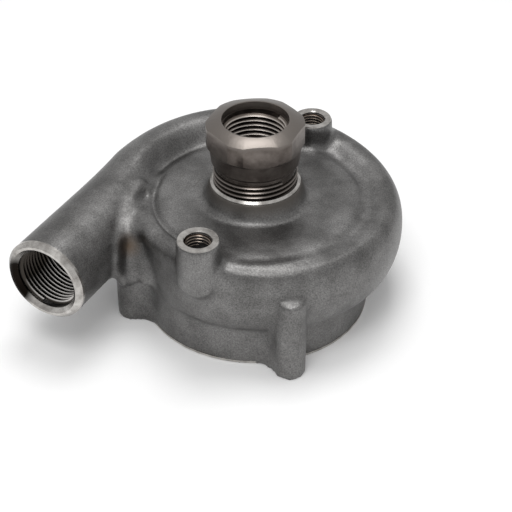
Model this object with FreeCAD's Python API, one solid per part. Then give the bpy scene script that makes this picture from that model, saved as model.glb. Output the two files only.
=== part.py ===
"""Volute pump casing with its hex inlet adapter, in millimetres.

The pump axis is Z, with the open motor side down at z = 0 and the inlet up.
The outlet pipe runs along -Y on the -X side. Seen from above, the scroll grows
anticlockwise from the cutwater beside the outlet pipe.
"""
import FreeCAD, Part
import math
import os

# Round plan: impeller chamber, motor's register, skirt, disc and groove, from the inside out
chamber_r = 51.0
register_r = chamber_r + 3.0
register_depth = 10.0
register_chamfer = 0.8
skirt_outer_r = register_r + 6.0
disc_edge_r = chamber_r + 4.0
disc_shoulder_r = 2.8
groove_r = disc_edge_r + 2.0
groove_depth = 1.6

# Outlet pipe
outlet_outer_r = 22.0
outlet_axis_x = -(skirt_outer_r + 8.6)
outlet_axis_z = 46.4
outlet_mouth_y = -94.6
outlet_thread_r = 16.7
outlet_thread_length = 30.0
outlet_mouth_chamfer = 2.0
outlet_rim_chamfer = 2.0
outlet_waterway_r = 14.9
outlet_straight_y = -46.0
outlet_section_gap = 10.0
outlet_turned_step = 0.05

# Heights of the disc and the neck
disc_top_z = outlet_axis_z + 16.3
groove_floor_z = disc_top_z - 3.1
roof_thickness = 5.0
inlet_eye_r = 17.0
neck_bore_low_z = disc_top_z - 2.3
neck_foot_r = 26.0
neck_foot_fillet = 3.0
neck_top_r = 23.2
neck_top_z = disc_top_z + 11.2
neck_chamfer = 1.1

# Scroll: outer radius from the cutwater to the outlet, and heights of its section
scroll_start_deg = 200.0
cutwater_deg = 231.0
scroll_full_deg = 510.0
scroll_end_deg = 540.0
scroll_step_deg = 20.0
scroll_outer_at_cutwater = skirt_outer_r + 1.5
scroll_growth_power = 1.08
scroll_bottom_z = outlet_axis_z - outlet_outer_r
scroll_widest_z = outlet_axis_z - 2.4
scroll_crest_z = disc_top_z - 1.3
scroll_crest_at_outlet_z = disc_top_z + 8.3
crest_rise_from_deg = 375.0
scroll_wall = 4.6
scroll_squareness = 0.64
scroll_low_squareness = 0.56
scroll_inner_r = chamber_r - 1.0
pipe_blend_deg = 70.0
passage_valley_shift = 0.2
scroll_least_flank = 3.6
passage_start_deg = 240.0

# Two small threaded ports, in line with Y
port_x = 1.9
port_offset = skirt_outer_r + 2.8
port_body_r = 10.9
port_rim_r = 10.2
port_top_z = disc_top_z + 13.2
port_thread_r = 6.85
port_thread_length = 14.0
port_mouth_chamfer = 0.6
port_drill_r = 5.2
port_taper_z = disc_top_z - 12.7
port_foot_z = scroll_bottom_z + 6.6
port_foot_r = 8.0
port_foot_offset = port_offset - 14.5

# Vertical fixing lugs with blind tapped holes from below.
# Each angle has the blend radii on its clockwise and its anticlockwise side.
lug_first_deg = 42.7
lug_blend_radii = [(13.0, 4.0), (6.0, 13.0), (6.0, 13.0), (13.0, 4.0)]
lug_r = 8.0
lug_centre_r = skirt_outer_r + 7.2
lug_top_z = scroll_bottom_z + 22.0
lug_top_rounding = 1.2
lug_hole_r = 3.4
lug_hole_depth = 16.0
lug_hole_point = 1.9

# Rib between the outlet pipe and the start of the scroll. Each station has its angle,
# how far it stands out from the skirt, the height of its round top and its half width.
rib_bottom_z = scroll_bottom_z + 0.6
rib_lug_end = (225.5, 9.4, disc_top_z - 12.7, 3.4)
rib_knee = (223.2, 7.2, disc_top_z - 5.7, 2.8)
rib_middle = (215.1, 4.3, disc_top_z + 0.3, 3.2)
rib_crest_end = (198.9, 1.8, disc_top_z + 2.3, 6.0)
rib_lug_index = 2
rib_spire_low_z = lug_top_z - 10.4
rib_spire_top_z = disc_top_z - 8.7
rib_spire_top_r = 4.0

# Hex inlet adapter, screwed into the neck
thread_clearance = 0.05
adapter_seat_gap = 0.4
adapter_shank_r = 21.6
adapter_lead_chamfer = 1.2
adapter_relief_r = 20.4
adapter_relief_height = 1.8
adapter_collar_low_r = 21.2
adapter_collar_r = 22.6
adapter_collar_rounding = 1.6
adapter_collar_z = neck_top_z + 10.6
hex_across_flats = 46.8
hex_corner_r = 24.9
hex_turn_deg = -56.0
adapter_hex_low_z = adapter_collar_z + 9.5
adapter_hex_full_z = adapter_hex_low_z + 1.7
adapter_top_z = adapter_hex_full_z + 13.0
adapter_mouth_r = 17.0
adapter_counterbore_depth = 3.9
adapter_lip = 0.6
adapter_top_slope = 0.34
adapter_thread_r = 16.7
adapter_thread_length = 17.0
adapter_waterway_r = 14.2

AXIS = FreeCAD.Vector(0, 0, 1)


def vec(x, y, z):
    return FreeCAD.Vector(x, y, z)


def polar(radius, angle_deg):
    angle = math.radians(angle_deg)
    return radius * math.cos(angle), radius * math.sin(angle)


def mix(a, b, t):
    return a + (b - a) * t


def cylinder(radius, low_z, high_z, x=0.0, y=0.0):
    return Part.makeCylinder(radius, high_z - low_z, vec(x, y, low_z), AXIS)


def edges_at(shape, **place):
    """Edges whose middle lies at a given x, y or z."""
    axis, value = list(place.items())[0]
    return [e for e in shape.Edges if abs(getattr(e.CenterOfMass, axis) - value) < 0.01]


# Outlines in the radial plane


def arc_profile(steps):
    """Closed wire in the radial plane from (r, z) corners and four-number arcs."""
    edges = []
    here = steps[0]
    for step in steps[1:] + steps[:1]:
        start = vec(here[0], 0, here[1])
        here = step[-2:]
        end = vec(here[0], 0, here[1])
        if len(step) == 4:
            edges.append(Part.Arc(start, vec(step[0], 0, step[1]), end).toShape())
        elif start.distanceToPoint(end) > 1e-6:
            edges.append(Part.makeLine(start, end))
    return Part.Wire(edges)


def rounded(centre_r, centre_z, radius, from_deg, to_deg):
    """Middle and end of an arc in the radial plane, as arc_profile takes it."""
    middle_r, middle_z = polar(radius, (from_deg + to_deg) / 2.0)
    end_r, end_z = polar(radius, to_deg)
    return (centre_r + middle_r, centre_z + middle_z, centre_r + end_r, centre_z + end_z)


def turned(steps):
    return Part.Face(arc_profile(steps)).revolve(vec(0, 0, 0), AXIS, 360)


# Scroll sections: closed outlines of six cubic curves in a plane through the pump axis


def straight(a, b):
    return [a, (mix(a[0], b[0], 1 / 3), mix(a[1], b[1], 1 / 3)),
            (mix(a[0], b[0], 2 / 3), mix(a[1], b[1], 2 / 3)), b]


def arc_handle(turn_deg):
    """Handle length, for a radius of 1, of the cubic curve that follows a circle."""
    return 4.0 / 3.0 * math.tan(math.radians(turn_deg) / 4.0)


def circle_part(centre, radius, from_deg, to_deg):
    handle = arc_handle(to_deg - from_deg)
    curve = []
    for angle_deg, turn in ((from_deg, handle), (to_deg, -handle)):
        x, y = polar(radius, angle_deg)
        end = (centre[0] + x, centre[1] + y)
        grip = (end[0] - turn * y, end[1] + turn * x)
        curve += [end, grip] if turn > 0 else [grip, end]
    return curve


def smooth_step(t):
    t = min(1.0, max(0.0, t))
    return t * t * (3.0 - 2.0 * t)


def scroll_radius(angle_deg):
    outer_at_outlet = outlet_outer_r - outlet_axis_x
    growth = (angle_deg - cutwater_deg) / (scroll_full_deg - cutwater_deg)
    growth = min(1.0, max(0.0, growth))
    return mix(scroll_outer_at_cutwater, outer_at_outlet, growth ** scroll_growth_power)


def scroll_outline(angle_deg, wall):
    """Outline of the scroll section, moved inwards by the wall for the water passage."""
    to_pipe = smooth_step((angle_deg - scroll_end_deg + pipe_blend_deg) / pipe_blend_deg)
    widest_r = scroll_radius(angle_deg) - wall
    pipe_r = outlet_outer_r - wall
    edge_r = min(groove_r + wall * passage_valley_shift, widest_r - scroll_least_flank)
    rise = smooth_step((angle_deg - crest_rise_from_deg) / (scroll_full_deg - crest_rise_from_deg))
    bottom_z = mix(scroll_bottom_z + wall, outlet_axis_z - pipe_r, to_pipe)
    crest_z = mix(scroll_crest_z, scroll_crest_at_outlet_z, rise) - wall
    middle_z = mix(scroll_widest_z, outlet_axis_z, rise)
    groove_z = mix(groove_floor_z - wall, outlet_axis_z + pipe_r * 0.6, to_pipe)
    crest_r = mix((edge_r + widest_r) / 2.0, -outlet_axis_x, to_pipe)
    grip = mix(scroll_squareness, arc_handle(90.0), to_pipe)
    low_grip = mix(scroll_low_squareness, arc_handle(90.0), to_pipe)
    low = (crest_r, bottom_z)
    side = (widest_r, middle_z)
    crest = (crest_r, crest_z)
    valley = (min(edge_r, crest_r - 1.0), groove_z)
    inner_top = (scroll_inner_r, groove_z - groove_depth)
    inner_low = (scroll_inner_r, bottom_z)
    return [
        straight(inner_low, low),
        [low, (mix(low[0], side[0], low_grip), low[1]), (side[0], mix(side[1], low[1], low_grip)), side],
        [side, (side[0], mix(side[1], crest[1], grip)), (mix(crest[0], side[0], grip), crest[1]), crest],
        [crest, (mix(crest[0], valley[0], 0.5), crest[1]), (mix(valley[0], crest[0], 0.4), valley[1]), valley],
        straight(valley, inner_top),
        straight(inner_top, inner_low),
    ]


def pipe_outline(radius):
    """The same six curves as a scroll section, here on the circle of the outlet pipe."""
    centre = (-outlet_axis_x, outlet_axis_z)
    stops = (225.0, 270.0, 360.0, 450.0, 495.0, 540.0, 585.0)
    return [circle_part(centre, radius, a, b) for a, b in zip(stops[:-1], stops[1:])]


def section_wire(outline, angle_deg, shift_y=0.0):
    edges = []
    for curve in outline:
        points = []
        for r, z in curve:
            x, y = polar(r, angle_deg)
            points.append(vec(x, y + shift_y, z))
        bezier = Part.BezierCurve()
        bezier.setPoles(points)
        edges.append(bezier.toShape())
    return Part.Wire(edges)


def scroll_body(start_deg, wall):
    count = int(round((scroll_end_deg - start_deg) / scroll_step_deg))
    wires = []
    for i in range(count + 1):
        angle_deg = mix(start_deg, scroll_end_deg, i / count)
        wires.append(section_wire(scroll_outline(angle_deg, wall), angle_deg))
    return Part.makeLoft(wires, True, False)


def outlet_reducer(wall, pipe_r):
    """Body that turns the last scroll section into the round outlet pipe."""
    wires = [section_wire(scroll_outline(scroll_end_deg, wall), scroll_end_deg)]
    for i in range(3):
        y = outlet_straight_y + (1 - i) * outlet_section_gap
        wires.append(section_wire(pipe_outline(pipe_r - outlet_turned_step), scroll_end_deg, y))
    return Part.makeLoft(wires, True, False)


def outlet_bar(radius, from_y, to_y):
    start = vec(outlet_axis_x, from_y, outlet_axis_z)
    return Part.makeCylinder(radius, from_y - to_y, start, vec(0, -1, 0))


def outlet_pipe():
    pipe = outlet_bar(outlet_outer_r, outlet_straight_y - outlet_section_gap, outlet_mouth_y)
    return pipe.makeChamfer(outlet_rim_chamfer, edges_at(pipe, y=outlet_mouth_y))


# Skirt and lugs


def lug_angle(index):
    return lug_first_deg + 360.0 / len(lug_blend_radii) * index


def blend_centre(angle_deg, blend_r, side):
    """Centre of the circle that touches the skirt and the lug from outside, on one side."""
    to_skirt = skirt_outer_r + blend_r
    to_lug = lug_r + blend_r
    cosine = (to_skirt ** 2 + lug_centre_r ** 2 - to_lug ** 2) / (2.0 * to_skirt * lug_centre_r)
    return polar(to_skirt, angle_deg + side * math.degrees(math.acos(cosine)))


def lug_web(index, height):
    """Prism from the skirt to a lug, hollowed on both sides by the blend circles."""
    angle_deg = lug_angle(index)
    clockwise_r, anticlockwise_r = lug_blend_radii[index]
    first = blend_centre(angle_deg, clockwise_r, -1.0)
    second = blend_centre(angle_deg, anticlockwise_r, 1.0)
    corners = [(0.0, 0.0), first, polar(lug_centre_r, angle_deg), second, (0.0, 0.0)]
    plan = Part.Face(Part.makePolygon([vec(x, y, 0) for x, y in corners]))
    web = plan.extrude(vec(0, 0, height))
    hollows = [cylinder(clockwise_r, 0.0, height, *first), cylinder(anticlockwise_r, 0.0, height, *second)]
    return web.cut(hollows)


def lugs():
    height = scroll_bottom_z + scroll_wall
    solids = []
    for index in range(len(lug_blend_radii)):
        column = cylinder(lug_r, 0.0, lug_top_z, *polar(lug_centre_r, lug_angle(index)))
        solids.append(lug_web(index, height))
        solids.append(column.makeFillet(lug_top_rounding, edges_at(column, z=lug_top_z)))
    return solids


# Disc, neck, ports and rib


def core_body():
    """Skirt, round top disc with its soft shoulder, and the conical neck."""
    shoulder_r = disc_edge_r - disc_shoulder_r
    foot_r = neck_foot_r + neck_foot_fillet
    return turned([
        (0.0, 0.0),
        (skirt_outer_r, 0.0),
        (skirt_outer_r, scroll_bottom_z + scroll_wall),
        (disc_edge_r, scroll_bottom_z + scroll_wall),
        (disc_edge_r, disc_top_z - disc_shoulder_r),
        rounded(shoulder_r, disc_top_z - disc_shoulder_r, disc_shoulder_r, 0.0, 90.0),
        (foot_r, disc_top_z),
        rounded(foot_r, disc_top_z + neck_foot_fillet, neck_foot_fillet, 270.0, 180.0),
        (neck_top_r, neck_top_z - neck_chamfer),
        (neck_top_r - neck_chamfer, neck_top_z),
        (0.0, neck_top_z),
    ])


def port_body(side):
    """Upright boss of a port, with a slanting foot that runs into the scroll's side."""
    y = side * port_offset
    upper = cylinder(port_body_r, port_taper_z, port_top_z, port_x, y)
    upper = upper.makeChamfer(port_body_r - port_rim_r, edges_at(upper, z=port_top_z))
    top = Part.makeCircle(port_body_r, vec(port_x, y, port_taper_z), AXIS)
    foot = Part.makeCircle(port_foot_r, vec(port_x, side * port_foot_offset, port_foot_z), AXIS)
    return [upper, Part.makeLoft([Part.Wire(top), Part.Wire(foot)], True, True)]


def rib_place(station):
    return polar(skirt_outer_r + station[1], station[0])


def rib_section(before, here, after):
    """Upright section with a round top, square to the line from the station before to the next."""
    top_z, half_width = here[2:]
    x, y = rib_place(here)
    before_x, before_y = rib_place(before)
    after_x, after_y = rib_place(after)
    along = vec(after_x - before_x, after_y - before_y, 0).normalize()
    across = along.cross(AXIS) * half_width
    low = vec(x, y, rib_bottom_z)
    shoulder = vec(x, y, top_z - half_width)
    return Part.Wire([
        Part.makeLine(low - across, low + across),
        Part.makeLine(low + across, shoulder + across),
        Part.Arc(shoulder + across, vec(x, y, top_z), shoulder - across).toShape(),
        Part.makeLine(shoulder - across, low - across),
    ])


def rib_body():
    """Upright rib that rises from the lug along the outlet pipe up to the scroll's crest."""
    stations = [rib_lug_end, rib_knee, rib_middle, rib_crest_end]
    befores = stations[:1] + stations[:-1]
    afters = stations[1:] + stations[-1:]
    return Part.makeLoft([rib_section(*near) for near in zip(befores, stations, afters)], True, False)


def rib_spire():
    """Taper from the lug's column up to the knee of the rib."""
    x, y = polar(lug_centre_r, lug_angle(rib_lug_index))
    low = Part.makeCircle(lug_r, vec(x, y, rib_spire_low_z), AXIS)
    top_x, top_y = rib_place(rib_knee)
    top = Part.makeCircle(rib_spire_top_r, vec(top_x, top_y, rib_spire_top_z), AXIS)
    return Part.makeLoft([Part.Wire(low), Part.Wire(top)], True, True)


# Hollows that are cut from the casting


def pump_chamber():
    """Register for the motor's spigot, impeller chamber, inlet eye and the neck's threaded bore."""
    roof_z = disc_top_z - roof_thickness
    neck_bore_r = adapter_shank_r + thread_clearance
    return turned([
        (0.0, 0.0),
        (register_r + register_chamfer, 0.0),
        (register_r, register_chamfer),
        (register_r, register_depth),
        (chamber_r, register_depth),
        (chamber_r, roof_z),
        (inlet_eye_r, roof_z),
        (inlet_eye_r, neck_bore_low_z),
        (neck_bore_r, neck_bore_low_z),
        (neck_bore_r, neck_top_z),
        (0.0, neck_top_z),
    ])


def water_passage():
    thread_end_y = outlet_mouth_y + outlet_thread_length
    return [
        scroll_body(passage_start_deg, scroll_wall),
        outlet_reducer(scroll_wall, outlet_waterway_r),
        outlet_bar(outlet_waterway_r, outlet_straight_y - outlet_section_gap, thread_end_y),
    ]


def outlet_thread_bore():
    thread_end_y = outlet_mouth_y + outlet_thread_length
    mouth_r = outlet_thread_r + outlet_mouth_chamfer
    mouth = vec(outlet_axis_x, outlet_mouth_y, outlet_axis_z)
    return [
        outlet_bar(outlet_thread_r, thread_end_y, outlet_mouth_y),
        Part.makeCone(mouth_r, outlet_thread_r, outlet_mouth_chamfer, mouth, vec(0, 1, 0)),
    ]


def port_holes():
    holes = []
    thread_low_z = port_top_z - port_thread_length
    mouth_r = port_thread_r + port_mouth_chamfer
    for y in (-port_offset, port_offset):
        holes.append(cylinder(port_thread_r, thread_low_z, port_top_z, port_x, y))
        holes.append(cylinder(port_drill_r, scroll_widest_z, thread_low_z, port_x, y))
        mouth = vec(port_x, y, port_top_z)
        holes.append(Part.makeCone(mouth_r, port_thread_r, port_mouth_chamfer, mouth, -AXIS))
    return holes


def lug_holes():
    holes = []
    for index in range(len(lug_blend_radii)):
        x, y = polar(lug_centre_r, lug_angle(index))
        holes.append(cylinder(lug_hole_r, 0.0, lug_hole_depth, x, y))
        holes.append(Part.makeCone(lug_hole_r, 0.0, lug_hole_point, vec(x, y, lug_hole_depth), AXIS))
    return holes


def volute_casing():
    metal = [scroll_body(scroll_start_deg, 0.0), outlet_reducer(0.0, outlet_outer_r), outlet_pipe()]
    metal += [rib_body(), rib_spire()] + lugs() + port_body(1.0) + port_body(-1.0)
    casing = core_body()
    for piece in metal:
        casing = casing.fuse(piece)
    for hollow in [pump_chamber()] + water_passage() + outlet_thread_bore() + port_holes() + lug_holes():
        casing = casing.cut(hollow)
    return casing.removeSplitter()


# Hex inlet adapter


def hex_prism(low_z, high_z):
    corner_r = hex_across_flats / 2.0 / math.cos(math.radians(30.0))
    corners = [polar(corner_r, hex_turn_deg + 30.0 + 60.0 * i) for i in range(7)]
    plan = Part.Face(Part.makePolygon([vec(x, y, low_z) for x, y in corners]))
    return plan.extrude(vec(0, 0, high_z - low_z))


def adapter_head():
    """Hexagon with turned corners, a coned top and a taper down to the collar."""
    lip_r = adapter_mouth_r + adapter_lip
    cone_low_z = adapter_top_z - (hex_corner_r - lip_r) * adapter_top_slope
    blank = turned([
        (0.0, adapter_hex_low_z),
        (hex_across_flats / 2.0, adapter_hex_low_z),
        (hex_corner_r, adapter_hex_full_z),
        (hex_corner_r, cone_low_z),
        (lip_r, adapter_top_z),
        (0.0, adapter_top_z),
    ])
    return blank.common(hex_prism(adapter_hex_low_z, adapter_top_z))


def adapter_shank():
    """Threaded shank with its lead-in, the relief above the thread and the round collar."""
    bottom_z = neck_bore_low_z + adapter_seat_gap
    relief_z = adapter_collar_z - adapter_relief_height
    band_r = hex_across_flats / 2.0
    return turned([
        (0.0, bottom_z),
        (adapter_shank_r - adapter_lead_chamfer, bottom_z),
        (adapter_shank_r, bottom_z + adapter_lead_chamfer),
        (adapter_shank_r, relief_z),
        (adapter_relief_r, relief_z),
        (adapter_relief_r, adapter_collar_z),
        (adapter_collar_low_r, adapter_collar_z),
        (adapter_collar_r, adapter_collar_z + adapter_collar_rounding),
        (band_r, adapter_hex_low_z),
        (0.0, adapter_hex_low_z),
    ])


def inlet_hex_adapter():
    counterbore_z = adapter_top_z - adapter_counterbore_depth
    thread_low_z = counterbore_z - adapter_thread_length
    bore = [
        cylinder(adapter_mouth_r, counterbore_z, adapter_top_z),
        cylinder(adapter_thread_r, thread_low_z, counterbore_z),
        cylinder(adapter_waterway_r, neck_bore_low_z, thread_low_z),
    ]
    return adapter_head().fuse(adapter_shank()).cut(bore).removeSplitter()


def write_part(name, shape):
    solids = shape.Solids
    print(name, "solids", len(solids), "valid", shape.isValid(), "volume", round(shape.Volume))
    shape = solids[0] if len(solids) == 1 else shape
    shape.exportStep("parts/" + name + ".step")


def main():
    os.makedirs("parts", exist_ok=True)
    write_part("volute_casing", volute_casing())
    write_part("inlet_hex_adapter", inlet_hex_adapter())


if __name__ == "__main__":
    main()
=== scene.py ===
"""Looks of the volute pump casing: cast skin, turned faces, hex adapter, pipe threads and the studio."""
import math

import bmesh
import bpy
import numpy as np
from bpy.props import FloatProperty, IntProperty, PointerProperty, StringProperty
from mathutils import Matrix, Vector


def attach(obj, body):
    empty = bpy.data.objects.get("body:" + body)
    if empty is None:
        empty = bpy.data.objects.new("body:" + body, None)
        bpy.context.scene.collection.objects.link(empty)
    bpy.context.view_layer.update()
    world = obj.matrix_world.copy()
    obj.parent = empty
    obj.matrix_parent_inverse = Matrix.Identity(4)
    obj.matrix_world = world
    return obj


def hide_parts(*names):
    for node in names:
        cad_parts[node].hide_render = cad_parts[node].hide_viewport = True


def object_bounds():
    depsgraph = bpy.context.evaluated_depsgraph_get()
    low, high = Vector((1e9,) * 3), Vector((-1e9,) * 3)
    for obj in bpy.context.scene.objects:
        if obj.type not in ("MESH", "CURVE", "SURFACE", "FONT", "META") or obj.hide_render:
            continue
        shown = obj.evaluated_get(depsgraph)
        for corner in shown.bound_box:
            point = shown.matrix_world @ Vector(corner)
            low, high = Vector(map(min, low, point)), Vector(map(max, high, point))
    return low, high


bl_info = {
    "name": "Volute pump casing",
    "version": (1, 0, 0),
    "blender": (4, 5, 0),
    "location": "View3D > Sidebar > Pump",
    "description": "Dresses the solids of a cast volute pump casing",
    "category": "Object",
}

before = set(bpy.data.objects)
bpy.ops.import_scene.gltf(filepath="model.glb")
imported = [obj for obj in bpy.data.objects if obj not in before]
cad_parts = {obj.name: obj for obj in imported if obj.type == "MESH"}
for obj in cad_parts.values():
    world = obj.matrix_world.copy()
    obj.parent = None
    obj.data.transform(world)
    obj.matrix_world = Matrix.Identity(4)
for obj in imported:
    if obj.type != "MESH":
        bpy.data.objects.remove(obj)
cad_low, cad_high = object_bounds()

PHOTO_SIDE_PX = 512
SENSOR_MM = 36.0
ROOT_BODY = "root"
CASTING_NODE = "volute_casing"
ADAPTER_NODE = "inlet_hex_adapter"
UP = Vector((0, 0, 1))
OUTLET_WAY = Vector((0, -1, 0))


def mm(value):
    """A length in metres, given in millimetres."""
    return value * 0.001


# Rib: turn about the outlet pipe's axis, and place along the pipe
RIB_STEPS = 8
RIB_TOP_DEG = 58.0
RIB_LOW_DEG = -10.0
RIB_TOP_Y = mm(-20)
RIB_LOW_Y = mm(-63)
RIB_CURVE = 2.5
RIB_FOOT = (mm(-47.5), mm(-55), mm(28))
RIB_FOOT_SWELL = 1.2

# Fills beside the rib
FILL_STEPS = 4
FILL_FOOT_SHARE = 0.55

# Crest bar: turn about the pump axis, and how it changes while the scroll grows
CREST_STEPS = 18
CREST_START_DEG = 208.0
CREST_SPAN_DEG = 142.0
CREST_GROWTH_DEG = 50.0
CREST_GROWTH = mm(1.4)
CREST_RISE = mm(1.1)
CREST_END_SINK = mm(2.0)
CREST_DISTANCE = mm(59.8)
CREST_SHIFT = mm(1.2)

# Front port's taper: walls are measured outwards from the port's axis
PORT_HOLE_LOW_Z = mm(46)
PORT_HOLE_FADE = mm(8)
PORT_HOLE_WALL = mm(7.4)
PORT_FOOT_WALL = mm(3.4)
PORT_FOOT_Z = mm(28)
PORT_TAPER_HEIGHT = mm(14)
PORT_TAPER_SHARE = 0.85
PORT_TAPER_REACH = mm(13)

# Groove between the disc and the crest, at the left
GROOVE_DISTANCE = mm(52.6)
GROOVE_HALF_WIDTH = mm(2.8)
GROOVE_DEPTH = mm(1.9)
GROOVE_LOW_Z = mm(57)
GROOVE_START_DEG = 182.0
GROOVE_START_FADE_DEG = 14.0
GROOVE_END_DEG = 268.0
GROOVE_END_FADE_DEG = 8.0

# Zones of the skin that are filled or worn more or less than the rest
ZONE_FADE = mm(8)
REGISTER_ZONE_Z = mm(14)
REGISTER_ZONE_WALL = mm(2)
OUTLET_ZONE_R = mm(19)
OUTLET_ZONE_Y = mm(-50)
PORT_ZONE_R = mm(24)
PORT_ZONE_LOW_SHARE = 0.2
PORT_WEAR_R = mm(12)
PORT_WEAR_FADE = mm(4)
UPPER_ZONE_Z = mm(46)
CREST_ZONE_Z = mm(44)
CREST_ZONE_FADE = mm(10)
CREST_ZONE_IN = mm(48)
CREST_ZONE_OUT = mm(72)
GROOVE_ZONE_R = mm(54)
GROOVE_ZONE_REACH = mm(3)
GROOVE_ZONE_Z = mm(56)
GROOVE_ZONE_START_DEG = 190.0
GROOVE_ZONE_END_DEG = 262.0
RIB_ZONE_START_DEG = 194.0
RIB_ZONE_END_DEG = 244.0
RIB_ZONE_Z = mm(27)
RIB_ZONE_R = mm(58)
RIB_LINE_START_DEG = 196.0
RIB_LINE_SPAN_DEG = 38.0
RIB_LINE_START = mm(60)
RIB_LINE_SWING = mm(18)
RIB_LINE_CURVE = 1.6

# One pass of filling or wearing: shares of the way to the neighbours' mean
FILL_RATE = 0.9
WEAR_RATE = 0.5
PASSES_PER_NORMAL = 4


# Settings


class CastingSettings(bpy.types.PropertyGroup):
    """The cast body and its blended seams."""
    voxel: FloatProperty(
        name="Skin cell", description="Edge length of the skin's cells", default=mm(1.2), unit="LENGTH")
    blend_passes: IntProperty(
        name="Blend passes", description="How far the inner corners are filled to soft blends", default=14)
    soften_passes: IntProperty(
        name="Soften passes", description="How far the crest's corners are worn round", default=12)
    wear: FloatProperty(name="Wear", description="Share of the softening away from the crest", default=0.06)
    seam_blend: FloatProperty(
        name="Seam blend", description="Share of the fill in the seams of skirt and lugs", default=0.2)
    crest_radius: FloatProperty(
        name="Crest", description="Radius of the scroll's crest where the scroll starts",
        default=mm(4.4), unit="LENGTH")
    crest_top: FloatProperty(
        name="Crest height", description="Height of the crest where the scroll starts",
        default=mm(62.0), unit="LENGTH")
    rib_radius: FloatProperty(
        name="Rib", description="Radius of the rib's round ridge", default=mm(3.2), unit="LENGTH")
    rib_sink: FloatProperty(
        name="Rib sink", description="Depth of the rib's centre line in the pipe",
        default=mm(0.9), unit="LENGTH")
    rib_blend: FloatProperty(
        name="Rib blend", description="Share of the fill between rib and pipe", default=0.08)
    metal_hex: StringProperty(
        name="Cast metal", description="Colour of the blasted stainless casting", default="#828180")
    crease_hex: StringProperty(
        name="Crease", description="Colour of the cast metal where dirt darkens it", default="#666564")
    stain_hex: StringProperty(
        name="Stain", description="Colour of the brown stain beside the rib", default="#63564A")
    # Colour of the painted shadow and painted reflection on the neck, and of the disc's real scratches
    shade_and_scratch_hex: StringProperty(
        name="Oil", description="Colour of the oiled neck and of the disc's scratches", default="#5F5B57")
    grain: FloatProperty(
        name="Cast grain", description="Size of the grains that blasting leaves",
        default=mm(0.9), unit="LENGTH")


class TurnedSettings(bpy.types.PropertyGroup):
    """The faces that a tool has cut bright."""
    proud: FloatProperty(
        name="Stand-off", description="How far a turned face lies over the cast skin",
        default=mm(0.08), unit="LENGTH")
    outlet_y: FloatProperty(
        name="Outlet mouth", description="Place of the outlet's face along Y",
        default=cad_low.y, unit="LENGTH")
    outlet_x: FloatProperty(
        name="Outlet X", description="Outlet axis, sideways", default=mm(-68.6), unit="LENGTH")
    outlet_z: FloatProperty(
        name="Outlet Z", description="Outlet axis, height", default=mm(46.4), unit="LENGTH")
    outlet_outer: FloatProperty(
        name="Outlet outside", description="Outer radius of the outlet pipe",
        default=mm(22.0), unit="LENGTH")
    outlet_chamfer: FloatProperty(
        name="Outlet chamfer", description="Chamfer outside and inside the outlet's mouth",
        default=mm(2.0), unit="LENGTH")
    port_x: FloatProperty(
        name="Port X", description="Place of both ports along X", default=mm(1.9), unit="LENGTH")
    port_offset: FloatProperty(
        name="Port offset", description="Distance of each port from the pump axis",
        default=mm(62.8), unit="LENGTH")
    port_top: FloatProperty(
        name="Port top", description="Height of the ports' faces", default=mm(75.9), unit="LENGTH")
    taper_z: FloatProperty(
        name="Port taper", description="Height where the front port starts to sink into the scroll",
        default=mm(63), unit="LENGTH")
    port_rim: FloatProperty(
        name="Port rim", description="Outer radius of a port's face", default=mm(10.2), unit="LENGTH")
    neck_top: FloatProperty(
        name="Neck top", description="Height of the neck's face", default=mm(73.9), unit="LENGTH")
    neck_radius: FloatProperty(
        name="Neck radius", description="Outer radius of the neck at its top",
        default=mm(23.2), unit="LENGTH")
    neck_chamfer: FloatProperty(
        name="Neck chamfer", description="Chamfer around the neck's top", default=mm(1.1), unit="LENGTH")
    neck_bore: FloatProperty(
        name="Neck bore", description="Radius of the neck's bore", default=mm(21.65), unit="LENGTH")
    register_radius: FloatProperty(
        name="Register", description="Radius of the motor's register", default=mm(54.0), unit="LENGTH")
    register_depth: FloatProperty(
        name="Register depth", description="Depth of the motor's register", default=mm(10.0), unit="LENGTH")
    skirt_radius: FloatProperty(
        name="Skirt", description="Outer radius of the skirt", default=mm(60.0), unit="LENGTH")
    rim_hex: StringProperty(
        name="Turned metal", description="Colour of freshly turned stainless", default="#C9C6C2")
    dark_hex: StringProperty(
        name="Rubbed metal", description="Colour of turned stainless where it is rubbed dull",
        default="#94908C")
    # Colour of the painted shade on the outlet's chamfer
    shade_mark_hex: StringProperty(
        name="Mark", description="Colour of turned metal that oil has darkened", default="#1A1613")


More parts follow.
